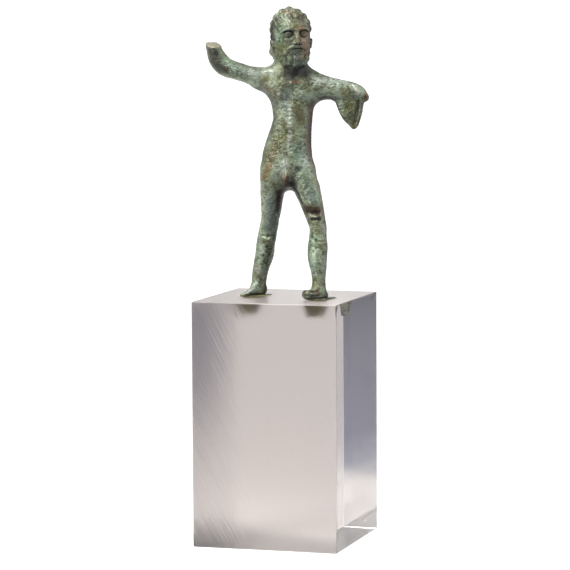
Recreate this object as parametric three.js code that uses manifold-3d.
// A small cast bronze votive figure of a bearded, nude, striding man with an animal skin over his
// outstretched left forearm, on a clear acrylic block that takes the two tangs under his feet.
// Millimetres, +Z up. The origin is the middle of the block's underside, its front faces -Y.

import * as THREE from 'three';
import { RoundedBoxGeometry } from 'three/addons/geometries/RoundedBoxGeometry.js';
import { mergeVertices } from 'three/addons/utils/BufferGeometryUtils.js';
import Module from 'manifold-3d';

const wasm = await Module();
wasm.setup();

// Driving sizes in millimetres and degrees
const FIGURE_HEIGHT = 97; // crown to soles
const FIGURE_TURN = 17.2; // the chest turns this far from the block's front, towards its right
const BLOCK_WIDTH = 50;
const BLOCK_DEPTH = 50;
const BLOCK_HEIGHT = 82.2;
const BLOCK_EDGE = 0.4; // broken edges
const TANG_DEPTH = 5.3; // cast tangs, set into the block
const TANG_LENGTH = 12.5;
const TANG_WIDTH = 5;
const TANG_TAPER = 0.62; // the tang's lower end as a share of its upper end
const STEM_WIDTH = 2.6; // joins a tang to its sole
const SOCKET_CLEARANCE = 0.3; // between a tang and its socket, all round
const SEAT_GAP = 0.3; // between the soles and the block
const BODY_CELL = 1.5; // edge of a facet on the body
const HEAD_CELL = 0.89; // edge of a facet on the head

// The figure's own measures are hundredths of its height, in its own frame:
// x to its left hand, y to its back, z up from the soles
const SHARE = FIGURE_HEIGHT / 100;
const HEAD_TURN = 16; // degrees to its left
const HEAD_LEAN = 2; // degrees, the crown to its right
const HEAD_MIDDLE = { x: 2.35, y: -2.5, z: 90.5 };
const CRANIUM = { x: 0, y: 0.8, z: 1.4, rx: 6.7, ry: 7.6, rz: 7.5 };
const CHEEKS = { x: 0, y: -2.0, z: -1.8, rx: 5.5, ry: 5.0, rz: 5.5 };
const JAW = { x: 0, y: -1.9, z: -6.0, rx: 5.4, ry: 5.3, rz: 6.9 };
const NAPE = { x: 0, y: 2.0, z: -5.0, rx: 6.9, ry: 4.8, rz: 5.6 };
const LOCK = { pitch: 2.9, long: 2.0, thick: 1.0, proud: 0.55 };

// Rows of locks: latitudes and longitudes in degrees, the longitude from the face round by the
// left ear, and how far a tip leans round from its root
const HAIR_ROWS = [
  { latitudes: [88, 62, 40], from: -180, to: 180, lean: 8 },
  { latitudes: [20], from: 35, to: 325, lean: 8 },
  { latitudes: [0, -20], from: 95, to: 265, lean: 8 },
  { latitudes: [-40], from: 105, to: 255, lean: 8 },
];
const NAPE_ROWS = [{ latitudes: [8, -24, -54], from: 100, to: 260, lean: 8 }];
const BEARD_ROWS = [
  { latitudes: [10], from: 45, to: 80, lean: 0 },
  { latitudes: [10], from: -80, to: -45, lean: 0 },
  { latitudes: [-14, -36, -58], from: -80, to: 80, lean: 0 },
];

// Forms of the face on its left half, mirrored to the right
const SOCKET = { x: 2.75, y: -6.9, z: 0.1, rx: 1.7, ry: 1.1, rz: 1.2 };
const EYEBALL = { x: 2.75, y: -5.7, z: 0.1, rx: 1.3, ry: 1.1, rz: 0.75 };
const NOSTRIL = { x: 0.8, y: -7.3, z: -3.1, rx: 0.7, ry: 0.8, rz: 0.6 };
const BROW = { points: [[0.9, -6.6, 1.5], [2.9, -6.5, 1.7], [4.6, -5.2, 1.2]], thick: 0.55 };
const MOUSTACHE = { points: [[0.2, -7.2, -4.3], [2.2, -6.6, -4.9]], thick: 0.6 };
const LOWER_LIP = { points: [[0, -6.9, -5.8], [1.2, -6.7, -5.6]], thick: 0.5 };
const NOSE = { points: [[0, -6.6, 1.2], [0, -7.9, -2.6]], thick: 0.8 };
const EAR = { x: 6.5, y: -0.1, z: -3.4, rx: 1.0, ry: 1.3, rz: 1.7 };
const EAR_HOLLOW = { x: 7.5, y: -0.3, z: -3.3, rx: 0.5, ry: 0.6, rz: 0.9 };

// Fillets where one form runs into another
const BLEND = {
  neck: 3, arm: 3.5, leg: 2, calf: 1.5, foot: 1.4, sex: 0.8, hem: 0.5, knob: 0.4, skin: 1.2,
  skull: 2, nape: 2.5, socket: 0.8, eye: 0.3, nose: 0.7, feature: 0.5, lock: 0.35, ear: 0.4,
};

// Centre line and half sizes of each limb: x, y, z, across, deep
const TRUNK = [
  [1.5, -2.0, 41.2, 7.4, 4.6], [1.1, -1.9, 43.5, 9.0, 5.0], [0.85, -2.1, 47.0, 8.85, 4.9],
  [1.25, -2.4, 51.5, 8.15, 4.4], [2.2, -2.6, 56.5, 7.2, 4.0], [2.8, -2.7, 61.0, 6.8, 3.9],
  [2.9, -2.7, 65.0, 7.15, 4.1], [2.9, -2.6, 69.5, 8.25, 4.4], [2.5, -2.3, 74.0, 8.4, 4.2],
  [1.6, -2.1, 77.3, 6.0, 3.9],
];
const NECK = [[1.9, -1.9, 75.0, 5.4, 4.6], [1.9, -2.2, 80.0, 5.1, 4.9], [2.0, -2.4, 86.0, 5.0, 5.0]];
const RIGHT_ARM = [
  [-3.2, -2.2, 74.6, 3.9, 3.2], [-8.0, -2.2, 75.3, 3.9, 3.6], [-12.4, -1.8, 76.7, 3.05, 3.0],
  [-16.5, -1.4, 78.0, 3.05, 2.8], [-20.5, -1.0, 79.5, 3.35, 2.8], [-23.0, -0.8, 82.2, 3.2, 2.7],
  [-24.1, -0.8, 85.0, 2.7, 2.5], [-24.6, -0.8, 89.0, 2.6, 2.4],
];
const BREAK = { x: -24.2, y: -0.8, z: 86.95, lean: 8, nod: 20 }; // face of the broken right wrist
const LEFT_ARM = [
  [5.2, -2.2, 73.5, 3.8, 3.2], [10.3, -2.6, 72.6, 4.0, 3.6], [14.4, -3.0, 72.0, 3.85, 3.2],
  [18.6, -3.5, 71.4, 3.55, 2.9], [22.6, -3.9, 71.1, 3.0, 2.6], [25.3, -4.2, 70.4, 2.4, 2.3],
  [26.9, -4.2, 69.0, 1.7, 1.7],
];
const HAND_KNOB = [[27.3, -4.3, 69.3, 1.1, 1.2], [28.0, -4.4, 68.5, 1.1, 1.1]];
const SKIN = [
  [22.0, -3.9, 70.0, 4.9, 1.7], [22.3, -4.0, 66.3, 4.45, 1.6], [22.85, -4.0, 62.4, 3.25, 1.5],
  [23.5, -4.0, 59.9, 1.8, 1.3], [23.8, -4.0, 58.7, 1.2, 1.1],
];
const SKIN_HEM = [[26.4, -5.0, 68.0, 1.0, 1.3], [25.8, -5.0, 63.5, 0.9, 1.2], [24.8, -4.8, 59.4, 0.8, 1.0]];
const RIGHT_LEG = [
  [-3.85, -1.7, 43.5, 4.15, 4.0], [-4.3, -0.9, 37.5, 4.2, 4.5], [-4.65, -0.2, 32.0, 3.7, 4.1],
  [-5.2, 0.6, 26.8, 3.2, 3.6], [-6.05, 1.3, 22.0, 3.2, 3.3], [-6.75, 2.0, 18.0, 3.25, 3.3],
  [-7.5, 2.6, 14.0, 3.05, 3.0], [-8.3, 3.2, 10.3, 2.8, 2.7], [-9.0, 3.9, 6.7, 2.6, 2.5],
  [-9.4, 4.1, 3.0, 2.5, 2.5],
];
const LEFT_LEG = [
  [5.5, -2.6, 43.5, 4.3, 4.0], [7.55, -3.7, 37.5, 4.45, 4.5], [9.1, -4.8, 32.6, 3.85, 4.2],
  [10.5, -5.9, 27.8, 3.3, 3.7], [11.3, -6.8, 24.0, 3.0, 3.3], [11.2, -7.4, 20.7, 3.1, 3.2],
  [11.1, -8.1, 17.2, 3.5, 3.3], [11.0, -8.7, 13.5, 3.3, 3.1], [11.4, -9.2, 9.8, 2.75, 2.7],
  [11.5, -9.5, 6.3, 2.35, 2.4], [11.4, -9.7, 3.0, 2.4, 2.5],
];
// For the feet, heel to toe, across is the height and deep is the breadth
const RIGHT_FOOT = [
  [-8.0, 5.2, 1.6, 1.6, 1.7], [-9.6, 4.1, 2.0, 2.2, 2.1], [-11.9, 2.6, 1.1, 1.35, 2.2],
  [-13.8, 1.3, 0.5, 0.75, 2.0], [-15.1, 0.5, 0.3, 0.5, 1.3],
];
const LEFT_FOOT = [
  [13.1, -8.3, 1.0, 1.4, 1.9], [11.4, -9.9, 1.6, 2.0, 2.4], [9.2, -11.6, 1.4, 1.7, 2.6],
  [7.5, -12.8, 1.4, 1.6, 2.2],
];
const FEET = [{ line: RIGHT_FOOT, tangShift: 1.6 }, { line: LEFT_FOOT, tangShift: 2.6 }];
const STEM_SHARE = 0.7; // of the sole's length
const STEM_REACH = 1.1; // into the tang and into the foot
const PEG_SIDES = 20;

// Muscle swells
const TRUNK_SWELLS = [
  { x: -1.4, y: -4.9, z: 71.5, rx: 3.8, ry: 2.0, rz: 3.2, blend: 2 }, // chest, right and left
  { x: 6.6, y: -4.9, z: 71.2, rx: 3.8, ry: 2.0, rz: 3.2, blend: 2 },
  { x: 2.6, y: -5.2, z: 58.5, rx: 3.6, ry: 1.5, rz: 5.5, blend: 2.5 }, // belly
  { x: -2.6, y: 1.6, z: 43.6, rx: 3.9, ry: 2.6, rz: 4.3, blend: 2 }, // buttocks
  { x: 5.0, y: 1.2, z: 43.6, rx: 3.9, ry: 2.6, rz: 4.3, blend: 2 },
];
const CALVES = [
  { x: -6.0, y: 4.0, z: 15.5, rx: 2.1, ry: 1.9, rz: 4.2 },
  { x: 11.6, y: -6.2, z: 16.8, rx: 2.4, ry: 2.0, rz: 4.4 },
];
const SEX = [
  { x: 0.6, y: -6.9, z: 40.9, rx: 1.9, ry: 2.3, rz: 2.9 },
  { x: 1.4, y: -6.1, z: 39.8, rx: 2.0, ry: 1.8, rz: 1.8 },
];

// Powers of the rounded sections: 2 is an ellipse, more is a slab with round edges
const ELLIPSE = 2;
const SOLE = 2.6;
const SLAB = 4;

// How the surface is laid: grid points on a side of a brick that is skipped where the surface is
// far, rounds of sliding, and shares of a cell for the slope's step, the longest slide and a fill
const LAY = { brick: 4, slides: 3, probe: 0.05, slide: 0.33, fill: 0.01, leastSlope: 0.45 };
const GRID_MARGIN = 3; // cells of air round a form
const MERGE = 1e-4; // corners closer than this are one
const EDGE_SEGMENTS = 2; // facets across the block's broken edges

const radians = THREE.MathUtils.degToRad;

// Two shapes as one, with a fillet of about the blend's size where they meet
function melt(a, b, blend) {
  const near = Math.max(blend - Math.abs(a - b), 0) / blend;
  return Math.min(a, b) - near * near * blend / 4;
}

// Signed distance to a limb: sections of half size across by deep along a smooth centre line.
// A section is an ellipse at power 2 and turns to a slab with round edges as the power grows.
function limb(stations, power = ELLIPSE) {
  const steps = 4;
  const count = (stations.length - 1) * steps;
  const line = new THREE.CatmullRomCurve3(stations.map(([x, y, z]) => new THREE.Vector3(x, y, z)));
  const size = new THREE.CatmullRomCurve3(stations.map((s) => new THREE.Vector3(s[3], s[4], 0)));
  const parts = [];
  for (let i = 0; i < count; i++) {
    const from = line.getPoint(i / count);
    const axis = line.getPoint((i + 1) / count).sub(from);
    const long = axis.length();
    const along = axis.clone().normalize();
    const deep = new THREE.Vector3(0, 1, 0).addScaledVector(along, -along.y).normalize();
    const across = new THREE.Vector3().crossVectors(deep, along);
    const a = size.getPoint(i / count);
    const b = size.getPoint((i + 1) / count);
    parts.push({ from, long, along, deep, across, a, b });
  }
  return (x, y, z) => {
    let best = Infinity;
    for (const s of parts) {
      const px = x - s.from.x;
      const py = y - s.from.y;
      const pz = z - s.from.z;
      const run = px * s.along.x + py * s.along.y + pz * s.along.z;
      const t = Math.min(Math.max(run / s.long, 0), 1);
      const wide = s.a.x + (s.b.x - s.a.x) * t;
      const thick = s.a.y + (s.b.y - s.a.y) * t;
      const least = Math.min(wide, thick);
      const u = Math.abs(px * s.across.x + py * s.across.y + pz * s.across.z) / wide;
      const v = Math.abs(px * s.deep.x + py * s.deep.y + pz * s.deep.z) / thick;
      const w = Math.abs(run - t * s.long) / least;
      const reach = power === ELLIPSE ? Math.hypot(u, v) : (u ** power + v ** power) ** (1 / power);
      best = Math.min(best, (Math.hypot(reach, w) - 1) * least);
    }
    return best;
  };
}

// Signed distance, near enough, to an ellipsoid
function egg(e) {
  const least = Math.min(e.rx, e.ry, e.rz);
  return (x, y, z) => (Math.hypot((x - e.x) / e.rx, (y - e.y) / e.ry, (z - e.z) / e.rz) - 1) * least;
}

// Signed distance to a thread of round section through some points
function thread({ points, thick }) {
  const parts = points.slice(1).map((b, i) => ({ a: points[i], d: b.map((v, n) => v - points[i][n]) }));
  return (x, y, z) => {
    let best = Infinity;
    for (const { a, d } of parts) {
      const p = [x - a[0], y - a[1], z - a[2]];
      const run = (p[0] * d[0] + p[1] * d[1] + p[2] * d[2]) / (d[0] ** 2 + d[1] ** 2 + d[2] ** 2);
      const t = Math.min(Math.max(run, 0), 1);
      best = Math.min(best, Math.hypot(p[0] - d[0] * t, p[1] - d[1] * t, p[2] - d[2] * t));
    }
    return best - thick;
  };
}

// The same shape leant sideways, its top to -X, turned about Z and moved to a place
function placed(shape, { x: cx, y: cy, z: cz }, turn, lean) {
  const [cos, sin] = [Math.cos(radians(turn)), Math.sin(radians(turn))];
  const [upright, aslant] = [Math.cos(radians(lean)), Math.sin(radians(lean))];
  return (x, y, z) => {
    const across = (x - cx) * cos + (y - cy) * sin;
    const deep = (y - cy) * cos - (x - cx) * sin;
    const up = z - cz;
    return shape(across * upright + up * aslant, deep, up * upright - across * aslant);
  };
}

// A point of an ellipsoid at a longitude from the face, round by the left ear, and a latitude
function onEgg(e, longitude, latitude, proud) {
  const level = Math.cos(radians(latitude));
  const out = [
    Math.sin(radians(longitude)) * level,
    -Math.cos(radians(longitude)) * level,
    Math.sin(radians(latitude)),
  ];
  return [e.x + out[0] * (e.rx + proud), e.y + out[1] * (e.ry + proud), e.z + out[2] * (e.rz + proud)];
}

// Rows of short locks that lie down an ellipsoid, each row set half a lock over from the last
function locksOn(e, { latitudes, from, to, lean }) {
  const locks = [];
  const turn = radians(to - from);
  latitudes.forEach((latitude, row) => {
    const girth = turn * Math.cos(radians(latitude)) * (e.rx + e.ry) / 2;
    const count = Math.max(Math.round(girth / LOCK.pitch), 1);
    const fall = THREE.MathUtils.radToDeg(LOCK.long / e.rz);
    for (let i = 0; i < count; i++) {
      const longitude = from + (to - from) * (i + (row % 2 ? 0.75 : 0.25)) / count;
      const sunk = LOCK.proud - LOCK.thick;
      const root = onEgg(e, longitude, latitude + fall / 2, sunk);
      const tip = onEgg(e, longitude + lean, latitude - fall / 2, sunk);
      locks.push(thread({ points: [root, tip], thick: LOCK.thick }));
    }
  });
  return locks;
}

// A form of the face's left half and its mirror image
function pair(form) {
  if (!form.points) return [egg(form), egg({ ...form, x: -form.x })];
  const mirrored = form.points.map(([x, y, z]) => [-x, y, z]);
  return [thread(form), thread({ ...form, points: mirrored })];
}

const trunk = limb(TRUNK);
const neck = limb(NECK);
const rightArm = limb(RIGHT_ARM);
const leftArm = limb(LEFT_ARM);
const handKnob = limb(HAND_KNOB);
const skin = limb(SKIN, SLAB);
const skinHem = limb(SKIN_HEM);
const rightLeg = limb(RIGHT_LEG);
const leftLeg = limb(LEFT_LEG);
const rightFoot = limb(RIGHT_FOOT, SOLE);
const leftFoot = limb(LEFT_FOOT, SOLE);
const trunkSwells = TRUNK_SWELLS.map((swell) => ({ swell: egg(swell), blend: swell.blend }));
const calves = CALVES.map(egg);
const sex = SEX.map(egg);

const breakNormal = new THREE.Vector3(0, 0, 1)
  .applyAxisAngle(new THREE.Vector3(1, 0, 0), radians(BREAK.nod))
  .applyAxisAngle(new THREE.Vector3(0, 1, 0), radians(BREAK.lean));

// The right arm down to the flat break at its wrist
function brokenArm(x, y, z) {
  const n = breakNormal;
  const past = (x - BREAK.x) * n.x + (y - BREAK.y) * n.y + (z - BREAK.z) * n.z;
  return Math.max(rightArm(x, y, z), past);
}

// The legs with their calves and feet
function legs(x, y, z) {
  let d = Math.min(rightLeg(x, y, z), leftLeg(x, y, z));
  for (const calf of calves) d = melt(d, calf(x, y, z), BLEND.calf);
  d = melt(d, rightFoot(x, y, z), BLEND.foot);
  return melt(d, leftFoot(x, y, z), BLEND.foot);
}

// The animal skin with its rolled hem, and the knob of the left hand
function heldSkin(x, y, z) {
  const d = melt(skin(x, y, z), skinHem(x, y, z), BLEND.hem);
  return melt(d, handKnob(x, y, z), BLEND.knob);
}

// The whole body below the head, cut flat under the soles
function body(x, y, z) {
  let d = melt(trunk(x, y, z), neck(x, y, z), BLEND.neck);
  d = melt(d, brokenArm(x, y, z), BLEND.arm);
  d = melt(d, leftArm(x, y, z), BLEND.arm);
  for (const { swell, blend } of trunkSwells) d = melt(d, swell(x, y, z), blend);
  d = melt(d, legs(x, y, z), BLEND.leg);
  for (const part of sex) d = melt(d, part(x, y, z), BLEND.sex);
  d = melt(d, heldSkin(x, y, z), BLEND.skin);
  return Math.max(d, -z);
}

const cranium = egg(CRANIUM);
const cheeks = egg(CHEEKS);
const jaw = egg(JAW);
const nape = egg(NAPE);
const nose = thread(NOSE);
const sockets = pair(SOCKET);
const eyes = pair(EYEBALL);
const features = [BROW, NOSTRIL, MOUSTACHE, LOWER_LIP].flatMap(pair);
const locks = [
  ...BEARD_ROWS.flatMap((row) => locksOn(JAW, row)),
  ...HAIR_ROWS.flatMap((row) => locksOn(CRANIUM, row)),
  ...NAPE_ROWS.flatMap((row) => locksOn(NAPE, row)),
];
const ears = pair(EAR);
const earHollows = pair(EAR_HOLLOW);

// The head with its hair and beard, about its own middle, the face to -Y
function head(x, y, z) {
  let d = melt(cranium(x, y, z), cheeks(x, y, z), BLEND.skull);
  d = melt(d, jaw(x, y, z), BLEND.skull);
  d = melt(d, nape(x, y, z), BLEND.nape);
  for (const socket of sockets) d = -melt(-d, socket(x, y, z), BLEND.socket);
  for (const eye of eyes) d = melt(d, eye(x, y, z), BLEND.eye);
  d = melt(d, nose(x, y, z), BLEND.nose);
  for (const feature of features) d = melt(d, feature(x, y, z), BLEND.feature);
  for (const lock of locks) d = melt(d, lock(x, y, z), BLEND.lock);
  for (const ear of ears) d = melt(d, ear(x, y, z), BLEND.ear);
  for (const hollow of earHollows) d = -melt(-d, hollow(x, y, z), BLEND.ear);
  return d;
}

const turnedHead = placed(head, HEAD_MIDDLE, HEAD_TURN, HEAD_LEAN);

// The corners of a grid cell and its edges as pairs of corners
const CORNERS = [...Array(8).keys()].map((c) => [c & 1, (c >> 1) & 1, c >> 2]);
const EDGES = CORNERS.flatMap((_, a) => [1, 2, 4].filter((bit) => !(a & bit)).map((bit) => [a, a | bit]));
const ALL_CORNERS = (1 << CORNERS.length) - 1;

// Whether the corners in a mask hang together along the cell's edges
function joined(mask) {
  let reached = mask & -mask;
  for (let before = 0; before !== reached;) {
    before = reached;
    for (const [a, b] of EDGES) {
      const both = (1 << a) | (1 << b);
      if ((mask & both) === both && reached & both) reached |= both;
    }
  }
  return reached === mask;
}

// A grid of signed distances between two corners, cell by cell
class Grid {
  constructor(distance, low, high, cell) {
    Object.assign(this, { distance, low, cell });
    [this.nx, this.ny, this.nz] = [0, 1, 2].map((k) => Math.ceil((high[k] - low[k]) / cell) + 1);
    this.strides = [1, this.nx, this.nx * this.ny];
    this.values = new Float64Array(this.nx * this.ny * this.nz);
    this.fillBricks();
    while (this.closeCrossings());
  }

  index(i, j, k) {
    return (k * this.ny + j) * this.nx + i;
  }

  at(i, j, k) {
    const [x, y, z] = [i, j, k].map((g, n) => this.low[n] + g * this.cell);
    return this.distance(x, y, z);
  }

  // Every cell once, or every grid point with extra 1
  each(visit, from = 0, extra = 0) {
    for (let k = from; k < this.nz - 1 + extra; k++) {
      for (let j = from; j < this.ny - 1 + extra; j++) {
        for (let i = from; i < this.nx - 1 + extra; i++) visit(i, j, k);
      }
    }
  }

  // A brick of points far from the surface takes the distance of its middle
  fillBricks() {
    const half = (LAY.brick - 1) / 2;
    const clear = half * Math.sqrt(3) * this.cell;
    const middles = new Map();
    this.each((i, j, k) => {
      const [a, b, c] = [i, j, k].map((g) => Math.floor(g / LAY.brick) * LAY.brick);
      const key = this.index(a, b, c);
      if (!middles.has(key)) middles.set(key, this.at(a + half, b + half, c + half));
      const middle = middles.get(key);
      this.values[this.index(i, j, k)] = Math.abs(middle) > clear ? middle : this.at(i, j, k);
    }, 0, 1);
  }

  // Fills a grid point wherever the surface would cross one cell twice, and says if it had to
  closeCrossings() {
    const { values } = this;
    let torn = false;
    this.each((i, j, k) => {
      const corners = CORNERS.map(([a, b, c]) => this.index(i + a, j + b, k + c));
      const mask = corners.reduce((bits, n, c) => (values[n] < 0 ? bits | (1 << c) : bits), 0);
      if (joined(mask) && joined(~mask & ALL_CORNERS)) return;
      const open = corners.filter((n) => values[n] >= 0).sort((a, b) => values[a] - values[b]);
      values[open[0]] = -this.cell * LAY.fill;
      torn = true;
    });
    return torn;
  }
}

// One point in each crossed cell, at the mean of where its edges are crossed
function cellPoints(grid) {
  const pointOf = new Map();
  const points = [];
  grid.each((i, j, k) => {
    const v = CORNERS.map(([a, b, c]) => grid.values[grid.index(i + a, j + b, k + c)]);
    const crossed = EDGES.filter(([a, b]) => (v[a] < 0) !== (v[b] < 0));
    if (!crossed.length) return;
    const mean = [0, 1, 2].map((n) => crossed.reduce((sum, [a, b]) => (
      sum + CORNERS[a][n] + (CORNERS[b][n] - CORNERS[a][n]) * v[a] / (v[a] - v[b])), 0) / crossed.length);
    pointOf.set(grid.index(i, j, k), points.length);
    points.push([i, j, k].map((g, n) => grid.low[n] + (g + mean[n]) * grid.cell));
  });
  return { pointOf, points };
}

// Slides a point down the slope of the distance until it lies on the surface
function slideOn(p, { distance, cell }) {
  const step = cell * LAY.probe;
  const most = cell * LAY.slide;
  for (let round = 0; round < LAY.slides; round++) {
    const d = distance(...p);
    const slope = [0, 1, 2].map((n) => (distance(...p.with(n, p[n] + step)) - d) / step);
    const steep = Math.max(Math.hypot(...slope), LAY.leastSlope);
    const slide = THREE.MathUtils.clamp(d / steep ** 2, -most, most);
    slope.forEach((value, n) => { p[n] -= value * slide; });
  }
}

// Closed surface where a signed distance is zero, a pair of triangles over each crossed grid edge
function skinOver(distance, low, high, cell) {
  const grid = new Grid(distance, low, high, cell);
  const { pointOf, points } = cellPoints(grid);
  for (const point of points) slideOn(point, grid);
  const span = (a, b) => Math.hypot(...points[a].map((value, n) => value - points[b][n]));
  const triangles = [];
  grid.each((i, j, k) => {
    const here = grid.index(i, j, k);
    const inside = grid.values[here] < 0;
    grid.strides.forEach((stride, n) => {
      if (inside === (grid.values[here + stride] < 0)) return;
      const u = grid.strides[(n + 1) % 3];
      const v = grid.strides[(n + 2) % 3];
      const ring = [here - u - v, here - v, here, here - u].map((cellAt) => pointOf.get(cellAt));
      if (!inside) ring.reverse();
      const [a, b, c, d] = ring;
      if (span(a, c) < span(b, d)) triangles.push(a, b, c, a, c, d);
      else triangles.push(a, b, d, b, c, d);
    });
  }, 1);
  return { points, triangles };
}

// A closed triangle mesh as a solid for joining and cutting
function solid(positions, triangles) {
  const vertProperties = Float32Array.from(positions);
  const triVerts = Uint32Array.from(triangles);
  return new wasm.Manifold(new wasm.Mesh({ numProp: 3, vertProperties, triVerts }));
}

function solidOf(geometry) {
  const bare = geometry.clone();
  bare.deleteAttribute('normal');
  bare.deleteAttribute('uv');
  const merged = mergeVertices(bare, MERGE);
  return solid(merged.attributes.position.array, merged.index.array);
}

function geometryOf(shape) {
  const mesh = shape.getMesh();
  const geometry = new THREE.BufferGeometry();
  geometry.setAttribute('position', new THREE.Float32BufferAttribute(mesh.vertProperties, 3));
  geometry.setIndex([...mesh.triVerts]);
  geometry.computeVertexNormals();
  return geometry;
}

// A form in hundredths of the figure's height, as a solid in millimetres. The room is a list of
// x, y, z and reach that the form stays within.
function carved(distance, room, facet) {
  const cell = facet / SHARE;
  const air = GRID_MARGIN * cell;
  const low = [0, 1, 2].map((k) => Math.min(...room.map((s) => s[k] - s[3])) - air);
  const high = [0, 1, 2].map((k) => Math.max(...room.map((s) => s[k] + s[3])) + air);
  const { points, triangles } = skinOver(distance, low, high, cell);
  return solid(points.flat().map((value) => value * SHARE), triangles);
}

const bodyRoom = [TRUNK, RIGHT_ARM, LEFT_ARM, HAND_KNOB, SKIN, RIGHT_LEG, LEFT_LEG, RIGHT_FOOT, LEFT_FOOT]
  .flat().map(([x, y, z, across, deep]) => [x, y, z, Math.max(across, deep)])
  .concat(NECK.map(([x, y, z, across]) => [x, y, z, across]));
const headRoom = [CRANIUM, JAW].map((e) => [
  HEAD_MIDDLE.x, HEAD_MIDDLE.y, HEAD_MIDDLE.z + e.z, Math.max(e.rx, e.ry, e.rz) + LOCK.pitch,
]);

// A closed oval loft through levels of height, half length and half width, along a direction
function ovalPeg(levels, { x: cx, y: cy, angle }, margin) {
  const positions = [];
  const triangles = [];
  const cos = Math.cos(angle);
  const sin = Math.sin(angle);
  levels.forEach(({ z, long, wide }) => {
    for (let i = 0; i < PEG_SIDES; i++) {
      const round = 2 * Math.PI * i / PEG_SIDES;
      const along = (long + margin) * Math.cos(round);
      const aside = (wide + margin) * Math.sin(round);
      positions.push(cx + along * cos - aside * sin, cy + along * sin + aside * cos, z);
    }
  });
  for (let i = 0; i < PEG_SIDES; i++) {
    const next = (i + 1) % PEG_SIDES;
    for (let row = 0; row < levels.length - 1; row++) {
      const low = row * PEG_SIDES;
      const high = low + PEG_SIDES;
      triangles.push(low + i, low + next, high + next, low + i, high + next, high + i);
    }
    if (i < PEG_SIDES - 2) {
      const top = (levels.length - 1) * PEG_SIDES;
      triangles.push(0, i + 2, i + 1, top, top + i + 1, top + i + 2);
    }
  }
  return solid(positions, triangles);
}

// The two tangs run under the feet and on behind the heels. A stem inside each foot's outline
// joins the tang to the sole, and the block's socket is the tang with its clearance.
const tangs = FEET.map(({ line, tangShift }) => {
  const heel = new THREE.Vector2(line[0][0], line[0][1]).multiplyScalar(SHARE);
  const toe = new THREE.Vector2(line.at(-1)[0], line.at(-1)[1]).multiplyScalar(SHARE);
  const backwards = heel.clone().sub(toe).normalize();
  const middle = heel.clone().add(toe).divideScalar(2);
  const place = middle.clone().addScaledVector(backwards, tangShift);
  return {
    place: { x: place.x, y: place.y, angle: backwards.angle() },
    stem: { x: middle.x, y: middle.y, angle: backwards.angle() },
    stemLength: heel.distanceTo(toe) * STEM_SHARE,
  };
});
const mouth = -SEAT_GAP;
const foot = mouth - TANG_DEPTH;
const tangEnd = { z: foot, long: TANG_LENGTH / 2 * TANG_TAPER, wide: TANG_WIDTH / 2 * TANG_TAPER };
const tangMouth = { z: mouth, long: TANG_LENGTH / 2, wide: TANG_WIDTH / 2 };

let cast = carved(body, bodyRoom, BODY_CELL).add(carved(turnedHead, headRoom, HEAD_CELL));
for (const { place, stem, stemLength } of tangs) {
  const half = { long: stemLength / 2, wide: STEM_WIDTH / 2 };
  cast = cast
    .add(ovalPeg([tangEnd, tangMouth], place, 0))
    .add(ovalPeg([{ z: mouth - STEM_REACH, ...half }, { z: STEM_REACH, ...half }], stem, 0));
}
const bronze = new THREE.Mesh(
  geometryOf(cast),
  new THREE.MeshStandardMaterial({ color: 0x6f8270, roughness: 0.6, metalness: 0.5 }),
);
bronze.name = 'bronze_figure';

// The same foot places in the block's frame, for the sockets
const turn = radians(FIGURE_TURN);
const inBlock = ({ x, y, angle }) => ({
  x: x * Math.cos(turn) - y * Math.sin(turn),
  y: x * Math.sin(turn) + y * Math.cos(turn),
  angle: angle + turn,
});
const bare = new RoundedBoxGeometry(BLOCK_WIDTH, BLOCK_DEPTH, BLOCK_HEIGHT, EDGE_SEGMENTS, BLOCK_EDGE);
bare.translate(0, 0, BLOCK_HEIGHT / 2);
let cutBlock = solidOf(bare);
const floor = { ...tangEnd, z: BLOCK_HEIGHT - TANG_DEPTH - SOCKET_CLEARANCE };
const rim = { ...tangMouth, z: BLOCK_HEIGHT };
const above = { ...rim, z: BLOCK_HEIGHT + STEM_REACH };
for (const { place } of tangs) {
  cutBlock = cutBlock.subtract(ovalPeg([floor, rim, above], inBlock(place), SOCKET_CLEARANCE));
}
const block = new THREE.Mesh(
  geometryOf(cutBlock),
  new THREE.MeshStandardMaterial({ color: 0xcdc6c6, roughness: 0.3, metalness: 0 }),
);
block.name = 'acrylic_block';

const figure = new THREE.Group();
figure.position.z = BLOCK_HEIGHT + SEAT_GAP;
figure.rotation.z = turn;
figure.add(bronze);

const part = new THREE.Group();
part.add(figure, block);
export default part;
